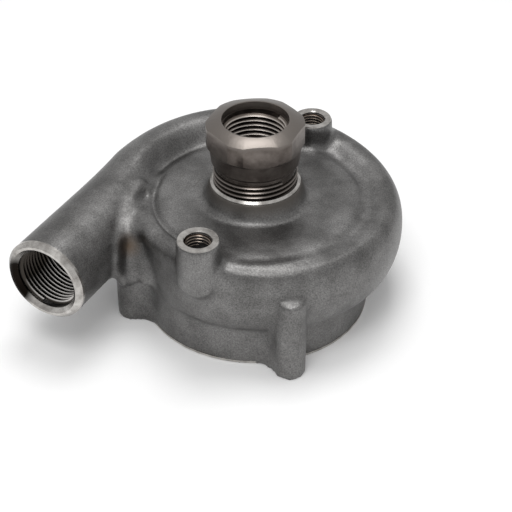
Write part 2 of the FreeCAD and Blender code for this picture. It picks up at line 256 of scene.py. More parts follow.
class AdapterSettings(bpy.types.PropertyGroup):
    """The hexagon adapter in the neck."""
    low_z: FloatProperty(
        name="Foot", description="Height of the shank's foot", default=mm(60.8), unit="LENGTH")
    shank_root: FloatProperty(
        name="Thread root", description="Radius at the root of the shank's thread",
        default=mm(20.5), unit="LENGTH")
    relief_radius: FloatProperty(
        name="Relief", description="Radius of the relief above the thread", default=mm(20.4), unit="LENGTH")
    relief_z: FloatProperty(
        name="Relief height", description="Height where the relief starts", default=mm(82.7), unit="LENGTH")
    collar_z: FloatProperty(
        name="Collar", description="Height of the collar's foot", default=mm(84.5), unit="LENGTH")
    collar_low: FloatProperty(
        name="Collar foot", description="Radius of the collar's foot", default=mm(21.2), unit="LENGTH")
    collar_radius: FloatProperty(
        name="Collar radius", description="Radius of the collar above its rounding",
        default=mm(22.6), unit="LENGTH")
    hex_low_z: FloatProperty(
        name="Flats from", description="Height where the flats start", default=mm(94.0), unit="LENGTH")
    hex_full_z: FloatProperty(
        name="Corners from", description="Height where the corners are full",
        default=mm(95.7), unit="LENGTH")
    top_z: FloatProperty(
        name="Top", description="Height of the adapter's lip", default=mm(108.7), unit="LENGTH")
    across_flats: FloatProperty(
        name="Across flats", description="Width over two flats", default=mm(46.8), unit="LENGTH")
    corner_radius: FloatProperty(
        name="Corner", description="Radius that the corners are turned to", default=mm(24.9), unit="LENGTH")
    turn: FloatProperty(
        name="Turn", description="Turn of the hexagon about the pump axis",
        default=math.radians(-56.0), subtype="ANGLE")
    top_slope: FloatProperty(name="Top slope", description="Rise over run of the coned top", default=0.34)
    lip: FloatProperty(
        name="Lip", description="Width of the flat lip at the mouth", default=mm(0.6), unit="LENGTH")
    mouth: FloatProperty(
        name="Mouth", description="Radius of the counterbore", default=mm(17.0), unit="LENGTH")
    counterbore: FloatProperty(
        name="Counterbore", description="Depth of the counterbore", default=mm(3.9), unit="LENGTH")
    waterway: FloatProperty(
        name="Waterway", description="Radius of the waterway", default=mm(14.2), unit="LENGTH")
    bevel: FloatProperty(
        name="Edge", description="Width of the worn edges", default=mm(0.35), unit="LENGTH")
    side_hex: StringProperty(
        name="Hex metal", description="Colour of the hexagon's sides", default="#534C48")
    worn_hex: StringProperty(
        name="Worn hex metal", description="Colour of the sides where handling has rubbed them",
        default="#756E69")
    # Painted highlight: the coned top is painted lighter than the flats
    cone_highlight_hex: StringProperty(name="Coned top", description="Colour of the coned top", default="#7A746F")


class ThreadSettings(bpy.types.PropertyGroup):
    """The pipe threads, drawn in the plain bores of the solids."""
    pipe_radius: FloatProperty(
        name="Pipe thread", description="Major radius of the inlet and outlet threads",
        default=mm(16.7), unit="LENGTH")
    inlet_pitch: FloatProperty(
        name="Inlet pitch", description="Pitch in the inlet", default=mm(2.7), unit="LENGTH")
    outlet_pitch: FloatProperty(
        name="Outlet pitch", description="Pitch in the outlet", default=mm(2.4), unit="LENGTH")
    pipe_depth: FloatProperty(
        name="Pipe thread depth", description="Depth of the inlet and outlet threads",
        default=mm(1.45), unit="LENGTH")
    port_radius: FloatProperty(
        name="Port thread", description="Major radius of the ports' threads",
        default=mm(6.85), unit="LENGTH")
    port_pitch: FloatProperty(
        name="Port pitch", description="Pitch in the ports", default=mm(1.7), unit="LENGTH")
    port_depth: FloatProperty(
        name="Port depth", description="Depth of the ports' threads", default=mm(0.95), unit="LENGTH")
    shank_radius: FloatProperty(
        name="Shank thread", description="Major radius of the shank's thread",
        default=mm(21.6), unit="LENGTH")
    shank_pitch: FloatProperty(
        name="Shank pitch", description="Pitch on the shank", default=mm(2.7), unit="LENGTH")
    steps: IntProperty(name="Steps", description="Steps in one turn of a thread", default=96)
    # Crest colours are a painted highlight and root colours are painted shade
    inlet_crest_hex: StringProperty(name="Inlet crests", description="Their colour", default="#CFC7C0")
    inlet_root_hex: StringProperty(name="Inlet roots", description="Their colour", default="#6A625C")
    outlet_crest_hex: StringProperty(name="Outlet crests", description="Their colour", default="#ECE8E4")
    outlet_root_hex: StringProperty(name="Outlet roots", description="Their colour", default="#3A3632")
    port_crest_hex: StringProperty(name="Port crests", description="Their colour", default="#94897F")
    port_root_hex: StringProperty(name="Port roots", description="Their colour", default="#2A211B")
    shank_crest_hex: StringProperty(name="Shank crests", description="Their colour", default="#857E79")
    shank_root_hex: StringProperty(name="Shank roots", description="Their colour", default="#1D1916")


class StudioSettings(bpy.types.PropertyGroup):
    """Camera, lights and floor."""
    azimuth: FloatProperty(
        name="Azimuth", description="Turn of the camera about the pump axis",
        default=math.radians(27.72), subtype="ANGLE")
    elevation: FloatProperty(
        name="Elevation", description="Height of the camera as an angle",
        default=math.radians(37.11), subtype="ANGLE")
    focal_px: FloatProperty(
        name="Focal length", description="In pixels of the 512 pixel frame", default=1400.0)
    distance: FloatProperty(
        name="Distance", description="Camera to target", default=mm(747.6), unit="LENGTH")
    target_z: FloatProperty(
        name="Target height", description="On the pump axis", default=mm(23.31), unit="LENGTH")
    target_right: FloatProperty(
        name="Target offset", description="From the pump axis to the camera's right",
        default=mm(0.33), unit="LENGTH")
    floor_hex: StringProperty(name="Floor", description="Colour of the floor", default="#FAFAFA")
    world_hex: StringProperty(name="Room", description="Colour of the room's light", default="#FFFFFF")
    world_strength: FloatProperty(
        name="Room light", description="Strength of the room's light", default=0.66)
    key_power: FloatProperty(name="Key light", description="Power in watts", default=3.0)
    fill_power: FloatProperty(name="Fill light", description="Power in watts", default=2.2)


# Materials


def linear(hex_code):
    """An sRGB hex colour as linear red, green and blue, with full alpha."""
    channels = []
    for start in (1, 3, 5):
        value = int(hex_code[start:start + 2], 16) / 255.0
        channels.append(value / 12.92 if value <= 0.04045 else ((value + 0.055) / 1.055) ** 2.4)
    return (*channels, 1.0)


def add_node(material, kind, settings=None, **inputs):
    """Adds a node, sets its properties, and fills or links its inputs by name."""
    node = material.node_tree.nodes.new(kind)
    for key, value in (settings or {}).items():
        setattr(node, key, value)
    for key, value in inputs.items():
        name = key.replace("_", " ")
        socket = node.inputs[int(name[1:])] if name[0] == "i" and name[1:].isdigit() else node.inputs[name]
        if isinstance(value, bpy.types.NodeSocket):
            material.node_tree.links.new(value, socket)
        else:
            socket.default_value = value
    return node


def new_metal(name, roughness=0.5):
    """A node material whose shader is a bare metal with the usual IOR."""
    material = bpy.data.materials.new(name)
    material.use_nodes = True
    shader = material.node_tree.nodes["Principled BSDF"]
    shader.inputs["Metallic"].default_value = 1.0
    shader.inputs["Roughness"].default_value = roughness
    return material, shader


def object_place(material, **mapping):
    """Object coordinates in metres, moved or turned by a Mapping node."""
    place = add_node(material, "ShaderNodeTexCoord").outputs["Object"]
    return add_node(material, "ShaderNodeMapping", None, Vector=place, **mapping).outputs["Vector"]


def ramp(material, factor, low, high, low_colour=(0, 0, 0, 1), high_colour=(1, 1, 1, 1)):
    """A colour ramp with two stops."""
    node = add_node(material, "ShaderNodeValToRGB", None, Fac=factor)
    node.color_ramp.elements[0].position = low
    node.color_ramp.elements[0].color = low_colour
    node.color_ramp.elements[1].position = high
    node.color_ramp.elements[1].color = high_colour
    return node.outputs["Color"]


def blend_colours(material, factor, a, b, blend_type="MIX"):
    """Mixes two colours, each a fixed colour or another node's output."""
    settings = {"data_type": "RGBA", "blend_type": blend_type}
    return add_node(material, "ShaderNodeMix", settings, i0=factor, i6=a, i7=b).outputs[2]


def near_place(material, centre, reach):
    """1 at a place on the part, falling to 0 at its reach on each axis."""
    scale = tuple(1.0 / r for r in reach)
    location = tuple(-c / r for c, r in zip(centre, reach))
    place = object_place(material, Location=location, Scale=scale)
    ball = add_node(material, "ShaderNodeTexGradient", {"gradient_type": "SPHERICAL"}, Vector=place)
    return ball.outputs["Color"]


def noise(material, place, size, detail=2.0, roughness=0.5):
    """Noise whose lumps are about as large as size, in metres."""
    node = add_node(
        material, "ShaderNodeTexNoise", None, Vector=place, Scale=1.0 / size, Detail=detail,
        Roughness=roughness)
    return node.outputs["Fac"]


def bump(material, height, strength, distance, **under):
    """A bump from a height, laid over another bump when its Normal is given."""
    node = add_node(
        material, "ShaderNodeBump", None, Strength=strength, Distance=distance, Height=height, **under)
    return node.outputs["Normal"]


def cast_stainless(sizes):
    """Investment-cast stainless, glass-bead blasted: a dull grey satin with fine grain and no mirror."""
    material, shader = new_metal("cast_stainless")
    place = object_place(material)
    patches = noise(material, place, mm(22.0), 3.0, 0.6)
    colour = blend_colours(
        material, ramp(material, patches, 0.38, 0.66), linear(sizes.crease_hex), linear(sizes.metal_hex))
    speckle = noise(material, place, sizes.grain * 0.8, 2.0, 0.7)
    speckle = ramp(material, speckle, 0.3, 0.7, (0.55, 0.55, 0.55, 1), (1.4, 1.4, 1.4, 1))
    colour = blend_colours(material, 0.85, colour, speckle, "MULTIPLY")
    # A few scratches on the disc
    drag = object_place(material, Rotation=(0, 0, math.radians(-62)), Scale=(1.0, 0.06, 0.06))
    scratches = ramp(material, noise(material, drag, mm(0.9), 1.0, 0.4), 0.64, 0.68)
    scratched = near_place(material, (mm(-37), 0.0, mm(63)), (mm(11), mm(11), mm(11)))
    scratches = add_node(material, "ShaderNodeMath", {"operation": "MULTIPLY"}, i0=scratches, i1=scratched)
    colour = blend_colours(material, scratches.outputs["Value"], colour, linear(sizes.shade_and_scratch_hex))
    # Painted shadow and painted reflection of the hexagon darken the neck
    shaded = near_place(material, (0.0, 0.0, mm(72)), (mm(34), mm(34), mm(12)))
    shaded = ramp(material, shaded, 0.05, 0.3)
    colour = blend_colours(material, shaded, colour, linear(sizes.shade_and_scratch_hex))
    stain = near_place(material, (mm(-44), mm(-55), mm(51)), (mm(8), mm(8), mm(8)))
    colour = blend_colours(material, stain, colour, linear(sizes.stain_hex))
    material.node_tree.links.new(colour, shader.inputs["Base Color"])
    # Blasting leaves a frosted finish that varies a little from place to place
    uneven = ramp(material, patches, 0.3, 0.7, (0.38, 0.38, 0.38, 1), (0.5, 0.5, 0.5, 1))
    material.node_tree.links.new(uneven, shader.inputs["Roughness"])
    # The real grit is 0.2 mm; it is drawn coarser so that it shows at this distance
    grit = noise(material, place, sizes.grain, 3.0, 0.6)
    lumps = noise(material, place, mm(6.0), 2.0, 0.5)
    uneven_skin = bump(material, lumps, 0.35, mm(0.5))
    blasted_skin = bump(material, grit, 0.5, mm(0.16), Normal=uneven_skin)
    material.node_tree.links.new(blasted_skin, shader.inputs["Normal"])
    return material


def darkened(material, colour, places, dark_hex):
    """The colour with painted shade at places, each given as a centre and a reach."""
    for centre, reach in places:
        mark = ramp(material, near_place(material, centre, reach), 0.05, 0.45)
        colour = blend_colours(material, mark, colour, linear(dark_hex))
    return colour


def turned_stainless(sizes, name="turned_stainless", spin_axis="Z", location=(0, 0, 0), marks=()):
    """Turned stainless: bright, with fine rings that a lathe tool leaves about the axis."""
    material, shader = new_metal(name, 0.27)
    place = object_place(material, Location=location)
    wear = noise(material, place, mm(5.0), 3.0, 0.6)
    colour = blend_colours(
        material, ramp(material, wear, 0.35, 0.7), linear(sizes.rim_hex), linear(sizes.dark_hex))
    # The marks are painted shade
    colour = darkened(material, colour, marks, sizes.shade_mark_hex)
    material.node_tree.links.new(colour, shader.inputs["Base Color"])
    # Feed marks of a lathe tool are 0.1 mm apart; drawn about 3 mm apart so that they show
    rings = add_node(
        material, "ShaderNodeTexWave", {"wave_type": "RINGS", "rings_direction": spin_axis}, Vector=place,
        Scale=1.0 / mm(10.0), Distortion=0.6, Detail=1.0)
    grooved = bump(material, rings.outputs["Fac"], 0.12, mm(0.1))
    material.node_tree.links.new(grooved, shader.inputs["Normal"])
    return material


def hex_stainless(sizes):
    """Milled bar stainless, dulled by handling: warm dark grey flats with small dents and lighter wear."""
    material, shader = new_metal("milled_stainless", 0.36)
    place = object_place(material)
    patches = noise(material, place, mm(9.0), 4.0, 0.6)
    colour = blend_colours(
        material, ramp(material, patches, 0.35, 0.7), linear(sizes.side_hex), linear(sizes.worn_hex))
    # Painted highlight: the coned top is painted lighter than the flats below it
    height = add_node(material, "ShaderNodeSeparateXYZ", None, Vector=place).outputs["Z"]
    coned = add_node(
        material, "ShaderNodeMapRange", None, Value=height, From_Min=sizes.top_z - mm(4.6),
        From_Max=sizes.top_z - mm(2.2))
    colour = blend_colours(material, coned.outputs["Result"], colour, linear(sizes.cone_highlight_hex))
    material.node_tree.links.new(colour, shader.inputs["Base Color"])
    dents = noise(material, place, mm(3.5), 3.0, 0.65)
    drag = object_place(material, Scale=(1.0, 1.0, 0.15))
    lines = noise(material, drag, mm(0.5), 2.0, 0.5)
    dented = bump(material, dents, 0.3, mm(0.3))
    scored = bump(material, lines, 0.15, mm(0.08), Normal=dented)
    material.node_tree.links.new(scored, shader.inputs["Normal"])
    return material


def thread_stainless(
        name, root, crest, root_hex, crest_hex, location=(0, 0, 0), rotation=(0, 0, 0), shaded=()):
    """Cut thread: crests painted bright as a painted highlight, roots painted dark as painted shade."""
    material, shader = new_metal(name, 0.26)
    place = object_place(material, Location=location, Rotation=rotation)
    across = add_node(
        material, "ShaderNodeVectorMath", {"operation": "MULTIPLY"}, i0=place, i1=(1.0, 1.0, 0.0))
    radius = add_node(
        material, "ShaderNodeVectorMath", {"operation": "LENGTH"}, i0=across.outputs["Vector"])
    height = add_node(
        material, "ShaderNodeMapRange", None, Value=radius.outputs["Value"], From_Min=root, From_Max=crest)
    colour = ramp(material, height.outputs["Result"], 0.4, 0.95, linear(root_hex), linear(crest_hex))
    # More painted shade at the places given
    colour = darkened(material, colour, shaded, root_hex)
    material.node_tree.links.new(colour, shader.inputs["Base Color"])
    return material


# Shapes


def polar(turn_deg, distance, height):
    """A point by its turn about the pump axis, its distance from the axis and its height."""
    turn = math.radians(turn_deg)
    return Vector((math.cos(turn) * distance, math.sin(turn) * distance, height))


def between(low, high, share):
    """The value that lies at a share of the way from low to high."""
    return low + (high - low) * share


def finish_piece(name, mesh_source, material, sharp_deg=35.0):
    """Makes a bmesh an object at the origin and dresses it."""
    mesh = bpy.data.meshes.new(name)
    mesh_source.to_mesh(mesh)
    mesh_source.free()
    return dress(bpy.data.objects.new(name, mesh), material, sharp_deg)


def dress(piece, material, sharp_deg=35.0):
    """Links an object into the scene, gives it its material and slot, and lets it ride on the pump."""
    bpy.context.scene.collection.objects.link(piece)
    piece.data.materials.clear()
    piece.data.materials.append(material)
    piece.data.shade_smooth()
    piece.data.set_sharp_from_angle(angle=math.radians(sharp_deg))
    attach(piece, ROOT_BODY)
    return piece


def spun(outline, centre, way, steps=128):
    """A closed outline of (radius, height) points, spun once about an axis into a solid ring."""
    across = way.orthogonal().normalized()
    bm = bmesh.new()
    points = [bm.verts.new(centre + across * r + way * h) for r, h in outline]
    edges = [bm.edges.new((a, b)) for a, b in zip(points, points[1:] + points[:1])]
    bmesh.ops.spin(
        bm, geom=points + edges, cent=centre, axis=way, dvec=(0, 0, 0), angle=math.tau, steps=steps,
        use_merge=True, use_duplicate=False)
    bmesh.ops.remove_doubles(bm, verts=bm.verts[:], dist=mm(0.001))
    bmesh.ops.recalc_face_normals(bm, faces=bm.faces[:])
    return bm


def thread_sleeve(centre, way, root, crest, pitch, length, steps):
    """A thin sleeve with a right-hand V thread, faces towards the crests."""
    across = way.orthogonal().normalized()
    shares = ((root, 0.0), (root, 0.1), (crest, 0.43), (crest, 0.57), (root, 0.9), (root, 1.0))
    bm = bmesh.new()
    points = [bm.verts.new(centre + across * r + way * (share * pitch)) for r, share in shares]
    edges = [bm.edges.new(pair) for pair in zip(points[:-1], points[1:])]
    count = int(round(length / pitch * steps)) - steps
    bmesh.ops.spin(
        bm, geom=points + edges, cent=centre, axis=way, dvec=way * (pitch / steps),
        angle=math.tau * count / steps, steps=count, use_merge=False, use_duplicate=False)
    bmesh.ops.remove_doubles(bm, verts=bm.verts[:], dist=pitch * 0.02)
    bmesh.ops.recalc_face_normals(bm, faces=bm.faces[:])
    bm.faces.ensure_lookup_table()
    first = bm.faces[len(bm.faces) // 2]
    middle = first.calc_center_median() - centre
    outward = middle - way * middle.dot(way)
    if (first.normal.dot(outward) > 0) != (crest > root):
        bmesh.ops.reverse_faces(bm, faces=bm.faces[:])
    return bm


def screw_thread(name, centre, way, root, crest, pitch, length, material):
    """A thread sleeve as a piece, with a thin wall on its hidden side."""
    sizes = bpy.context.scene.pump_threads
    sleeve = thread_sleeve(centre, way, root, crest, pitch, length, sizes.steps)
    piece = finish_piece(name, sleeve, material, 25.0)
    wall = piece.modifiers.new("wall", "SOLIDIFY")
    wall.thickness = mm(0.25)
    wall.offset = -1.0
    return piece


def merged_copy(node, bars=()):
    """A copy of a CAD node's mesh with its loose triangles joined, and round bars strung from balls added."""
    bm = bmesh.new()
    bm.from_mesh(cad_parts[node].data)
    bmesh.ops.remove_doubles(bm, verts=bm.verts[:], dist=mm(0.002))
    mesh = bpy.data.meshes.new(node + "_copy")
    for pair in (pair for bar in bars for pair in zip(bar[:-1], bar[1:])):
        link = bmesh.new()
        for centre, radius in pair:
            bmesh.ops.create_icosphere(link, subdivisions=2, radius=radius, matrix=Matrix.Translation(centre))
        hull = bmesh.ops.convex_hull(link, input=link.verts[:])
        inner = [v for v in hull["geom_interior"] if isinstance(v, bmesh.types.BMVert)]
        bmesh.ops.delete(link, geom=inner, context="VERTS")
        link.to_mesh(mesh)
        link.free()
        bm.from_mesh(mesh)
    bm.to_mesh(mesh)
    bm.free()
    return mesh


def recast(mesh, voxel):
    """The same solid as one even skin, by a voxel remesh."""
    carrier = bpy.data.objects.new("recast", mesh)
    bpy.context.scene.collection.objects.link(carrier)
    remesh = carrier.modifiers.new("skin", "REMESH")
    remesh.mode = "VOXEL"
    remesh.voxel_size = voxel
    skin = bpy.data.meshes.new_from_object(carrier.evaluated_get(bpy.context.evaluated_depsgraph_get()))
    bpy.data.objects.remove(carrier)
    return skin


def neighbour_mean(points, pairs, degree):
    """The mean of each point's neighbours along the mesh's edges."""
    mean = np.empty_like(points)
    for axis in range(3):
        mean[:, axis] = np.bincount(pairs[:, 0], points[pairs[:, 1], axis], len(points))
    return mean / degree[:, None]


def blend_corners(mesh, fill_passes, soften_passes, share, worn):
    """Fills inner corners by moving points outwards only, then wears each point by its share."""
    count = len(mesh.vertices)
    points = np.empty(count * 3)
    mesh.vertices.foreach_get("co", points)
    points = points.reshape(-1, 3)
    edges = np.empty(len(mesh.edges) * 2, int)
    mesh.edges.foreach_get("vertices", edges)
    edges = edges.reshape(-1, 2)
    pairs = np.vstack([edges, edges[:, ::-1]])
    degree = np.maximum(np.bincount(pairs[:, 0], minlength=count), 1)
    weight = share(points)
    normals = np.empty(count * 3)
    for number in range(fill_passes):
        if number % PASSES_PER_NORMAL == 0:
            mesh.vertices.foreach_set("co", points.ravel())
            mesh.update()
            mesh.vertex_normals.foreach_get("vector", normals)
            way = normals.reshape(-1, 3).copy()
        lift = ((neighbour_mean(points, pairs, degree) - points) * way).sum(1)
        points = points + way * (np.maximum(lift, 0.0) * weight * FILL_RATE)[:, None]
    rubbed = worn(points)[:, None] * WEAR_RATE
    for number in range(soften_passes):
        points = points + (neighbour_mean(points, pairs, degree) - points) * rubbed
    mesh.vertices.foreach_set("co", points.ravel())
    mesh.update()


# Operators


class PUMP_OT_cast_skin(bpy.types.Operator):
    """Give the casting one skin with the soft blends of a cast body"""
    bl_idname = "pump.cast_skin"
    bl_label = "Cast skin"

    def rib_bar(self, sizes, turned):
        """Balls along the rib: down the pipe's side from the crest, then to the lug's front."""
        bar = []
        for i in range(RIB_STEPS + 1):
            share = 1.0 - i / RIB_STEPS
            turn = math.radians(between(RIB_LOW_DEG, RIB_TOP_DEG, share))
            way = Vector((math.cos(turn), 0, math.sin(turn)))
            y = between(RIB_LOW_Y, RIB_TOP_Y, share ** RIB_CURVE)
            on_axis = Vector((turned.outlet_x, y, turned.outlet_z))
            bar.append((on_axis + way * (turned.outlet_outer - sizes.rib_sink), sizes.rib_radius))
        bar.append((Vector(RIB_FOOT), sizes.rib_radius * RIB_FOOT_SWELL))
        return bar

    def fill_bar(self, top, foot, radius):
        """Balls that fill a slot beside the rib; top and foot are turn in degrees, distance and height."""
        bar = []
        for i in range(FILL_STEPS + 1):
            share = i / FILL_STEPS
            turn_deg, distance, height = (between(a, b, share) for a, b in zip(top, foot))
            bar.append((polar(turn_deg, distance, height), radius * between(1.0, FILL_FOOT_SHARE, share)))
        return bar

    def valley_bars(self):
        """The fills of the valley between rib and scroll, each from its top down to the left lug."""
        along_crest = self.fill_bar((201.0, mm(59.2), mm(60.4)), (231.0, mm(65.5), mm(35.0)), mm(4.9))
        crest_foot = self.fill_bar((229.5, mm(62.0), mm(54.0)), (238.0, mm(63.5), mm(31.0)), mm(4.6))
        valley_floor = self.fill_bar((224.0, mm(65.5), mm(55.0)), (232.0, mm(68.5), mm(30.0)), mm(5.4))
        rib_flank = self.fill_bar((225.5, mm(69.0), mm(53.0)), (231.5, mm(72.0), mm(30.0)), mm(5.0))
        crest_flank = self.fill_bar((227.7, mm(63.7), mm(56.0)), (236.6, mm(65.0), mm(31.0)), mm(4.6))
        rib_foot = self.fill_bar((228.0, mm(72.0), mm(51.0)), (232.5, mm(74.5), mm(30.0)), mm(4.0))
        return along_crest, crest_foot, valley_floor, rib_flank, crest_flank, rib_foot

    def crest_bar(self, sizes):
        """Balls that make the scroll's narrow crest round at the front; the bar grows with the scroll."""
        bar = []
        for i in range(CREST_STEPS + 1):
            share = i / CREST_STEPS
            past_start = CREST_SPAN_DEG * share
            growth = min(1.0, past_start / CREST_GROWTH_DEG)
            radius = sizes.crest_radius + CREST_GROWTH * growth
            top = sizes.crest_top + CREST_RISE * growth - CREST_END_SINK * share ** 6
            distance = CREST_DISTANCE - CREST_SHIFT * growth
            bar.append((polar(CREST_START_DEG + past_start, distance, top - radius), radius))
        return bar

    def taper_port(self, skin, turned):
        """The front port's body is worn back towards its foot; the wall round the drilled hole stays."""
        for vertex in skin.vertices:
            x, y, z = vertex.co
            below_hole = min(1.0, max(0.0, (PORT_HOLE_LOW_Z - z) / PORT_HOLE_FADE))
            wall = -turned.port_offset - between(PORT_HOLE_WALL, PORT_FOOT_WALL, below_hole)
            on_port = abs(x - turned.port_x) < PORT_TAPER_REACH and PORT_FOOT_Z < z < turned.taper_z
            if on_port and y < wall:
                share = min(1.0, (turned.taper_z - z) / PORT_TAPER_HEIGHT)
                smooth = share * share * (3.0 - 2.0 * share)
                vertex.co.y = between(y, wall, PORT_TAPER_SHARE * smooth)

    def sink_groove(self, skin):
        """The groove between disc and crest is sunk again where filled corners have closed it."""
        for vertex in skin.vertices:
            x, y, z = vertex.co
            turn_deg = math.degrees(math.atan2(y, x)) % 360.0
            off_line = abs(math.hypot(x, y) - GROOVE_DISTANCE) / GROOVE_HALF_WIDTH
            if off_line < 1.0 and z > GROOVE_LOW_Z and GROOVE_START_DEG < turn_deg < GROOVE_END_DEG:
                start_share = (turn_deg - GROOVE_START_DEG) / GROOVE_START_FADE_DEG
                end_share = (GROOVE_END_DEG - turn_deg) / GROOVE_END_FADE_DEG
                depth = GROOVE_DEPTH * min(1.0, start_share, end_share)
                vertex.co.z -= depth * math.cos(off_line * math.pi / 2.0) ** 2

    def fill_share(self, points, sizes, turned):
        """How much of the fill each point takes: none on machined faces, all beside the rib and the ports."""
        x, y, z = points.T
        radius = np.hypot(x, y)
        turn_deg = np.degrees(np.arctan2(y, x)) % 360.0
        inside_skirt = (z < REGISTER_ZONE_Z) & (radius < turned.skirt_radius - REGISTER_ZONE_WALL)
        from_pipe_axis = np.hypot(x - turned.outlet_x, z - turned.outlet_z)
        inside_outlet = (from_pipe_axis < OUTLET_ZONE_R) & (y < OUTLET_ZONE_Y)
        to_port = np.hypot(x - turned.port_x, np.abs(y) - turned.port_offset)
        near_port = np.clip((PORT_ZONE_R - to_port) / ZONE_FADE, 0.0, 1.0)
        near_port = near_port * np.clip((z - CREST_ZONE_Z) / ZONE_FADE, PORT_ZONE_LOW_SHARE, 1.0)
        upper = np.clip((z - UPPER_ZONE_Z) / ZONE_FADE, 0.0, 1.0)
        weight = sizes.seam_blend * (1.0 - upper)
        weight = weight + (1.0 - weight) * near_port
        # Between rib and scroll the casting is filled to a valley; between rib and pipe a crease stays
        along = np.clip((turn_deg - RIB_LINE_START_DEG) / RIB_LINE_SPAN_DEG, 0.0, 1.0)
        rib_line = RIB_LINE_START + RIB_LINE_SWING * along ** RIB_LINE_CURVE
        by_rib = (turn_deg > RIB_ZONE_START_DEG) & (turn_deg < RIB_ZONE_END_DEG)
        by_rib = by_rib & (z > RIB_ZONE_Z) & (radius > RIB_ZONE_R)
        weight = np.where(by_rib, sizes.rib_blend, weight)
        weight = np.where(by_rib & (radius < rib_line), 1.0, weight)
        # The groove round the disc stays open
        in_groove = (np.abs(radius - GROOVE_ZONE_R) < GROOVE_ZONE_REACH) & (z > GROOVE_ZONE_Z)
        in_groove = in_groove & (turn_deg > GROOVE_ZONE_START_DEG) & (turn_deg < GROOVE_ZONE_END_DEG)
        weight = np.where(in_groove, sizes.seam_blend, weight)
        return np.where(inside_skirt | inside_outlet, 0.0, weight)

    def wear_share(self, points, sizes, turned):
        """How much each point is worn round: all of it on the crest, little elsewhere."""
        x, y, z = points.T
        radius = np.hypot(x, y)
        to_port = np.hypot(x - turned.port_x, np.abs(y) - turned.port_offset)
        crest = np.clip((z - CREST_ZONE_Z) / CREST_ZONE_FADE, 0.0, 1.0)
        crest = crest * np.clip((to_port - PORT_WEAR_R) / PORT_WEAR_FADE, 0.0, 1.0)
        crest = np.where((radius > CREST_ZONE_IN) & (radius < CREST_ZONE_OUT), crest, 0.0)
        return between(sizes.wear, 1.0, crest)

    def execute(self, context):
        sizes = context.scene.pump_casting
        turned = context.scene.pump_turned

        def share(points):
            return self.fill_share(points, sizes, turned)

        def worn(points):
            return self.wear_share(points, sizes, turned)

        bars = (self.rib_bar(sizes, turned), self.crest_bar(sizes), *self.valley_bars())
        skin = recast(merged_copy(CASTING_NODE, bars), sizes.voxel)
        self.taper_port(skin, turned)
        # A second recast heals the folds where filled walls have met
        blend_corners(skin, sizes.blend_passes, 0, share, worn)
        skin = recast(skin, sizes.voxel)
        blend_corners(skin, sizes.blend_passes // 2, sizes.soften_passes, share, worn)
        self.sink_groove(skin)
        skin.name = "cast_body"
        piece = dress(bpy.data.objects.new("cast_body", skin), cast_stainless(sizes), 180.0)
        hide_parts(CASTING_NODE)
        return {"FINISHED"}


class PUMP_OT_turned_faces(bpy.types.Operator):
    """Lay the turned faces over the casting: outlet, ports, neck and base"""
    bl_idname = "pump.turned_faces"
    bl_label = "Turned faces"

    def execute(self, context):
        sizes = context.scene.pump_turned
        threads = context.scene.pump_threads
        over = sizes.proud
        metal = turned_stainless(sizes)

        outer, bore, cut = sizes.outlet_outer, threads.pipe_radius, sizes.outlet_chamfer
        back = -cut - mm(1.4)
        outline = [
            (outer + over, back), (outer + over, -cut), (outer - cut + over, over), (bore + cut, over),
            (bore - over, -cut), (bore - over, -cut - mm(1.2)), (bore + mm(1.0), back),
        ]
        mouth = Vector((sizes.outlet_x, sizes.outlet_y, sizes.outlet_z))
        location = (-sizes.outlet_x, 0, -sizes.outlet_z)
        # Painted shade darkens the chamfer on the side away from the pump
        centre = (sizes.outlet_x - mm(17), sizes.outlet_y, sizes.outlet_z - mm(6))
        shaded = (centre, (mm(11), mm(9), mm(20)))
        outlet_metal = turned_stainless(sizes, "turned_stainless_outlet", "Y", location, (shaded,))
        finish_piece("outlet_rim", spun(outline, mouth, OUTLET_WAY), outlet_metal)

        rim, hole = sizes.port_rim, threads.port_radius
        outline = [
            (rim + mm(0.1), -mm(0.4)), (rim - mm(0.2), over), (hole + mm(0.4), over), (hole - over, -mm(0.5)),
            (hole - over, -mm(1.2)), (hole + mm(0.8), -mm(1.7)),
        ]
        for name, side in (("port_rim_front", -1), ("port_rim_back", 1)):
            centre = Vector((sizes.port_x, side * sizes.port_offset, sizes.port_top))
            finish_piece(name, spun(outline, centre, UP, 96), metal)

        outer, bore, cut = sizes.neck_radius, sizes.neck_bore, sizes.neck_chamfer
        back = -cut - mm(2.6)
        outline = [
            (outer + over, back), (outer + over, -cut), (outer - cut + over, over), (bore, over),
            (bore, -mm(2.0)), (bore + mm(0.5), back),
        ]
        finish_piece("neck_rim", spun(outline, UP * sizes.neck_top, UP), metal)

        inner, depth, outer = sizes.register_radius, sizes.register_depth, sizes.skirt_radius
        foot, lip, back = -over * 0.3, mm(1.6), depth + mm(0.5)
        shoulder, hidden = inner - mm(3.0), inner + mm(1.5)
        outline = [
            (outer + over, lip), (outer + over, mm(0.5)), (outer - mm(0.5), foot), (inner + mm(0.8), foot),
            (inner - over, mm(0.8)), (inner - over, depth - over), (shoulder, depth - over),
            (shoulder, back), (hidden, back), (hidden, lip),
        ]
        finish_piece("motor_register", spun(outline, Vector(), UP, 160), metal)
        return {"FINISHED"}


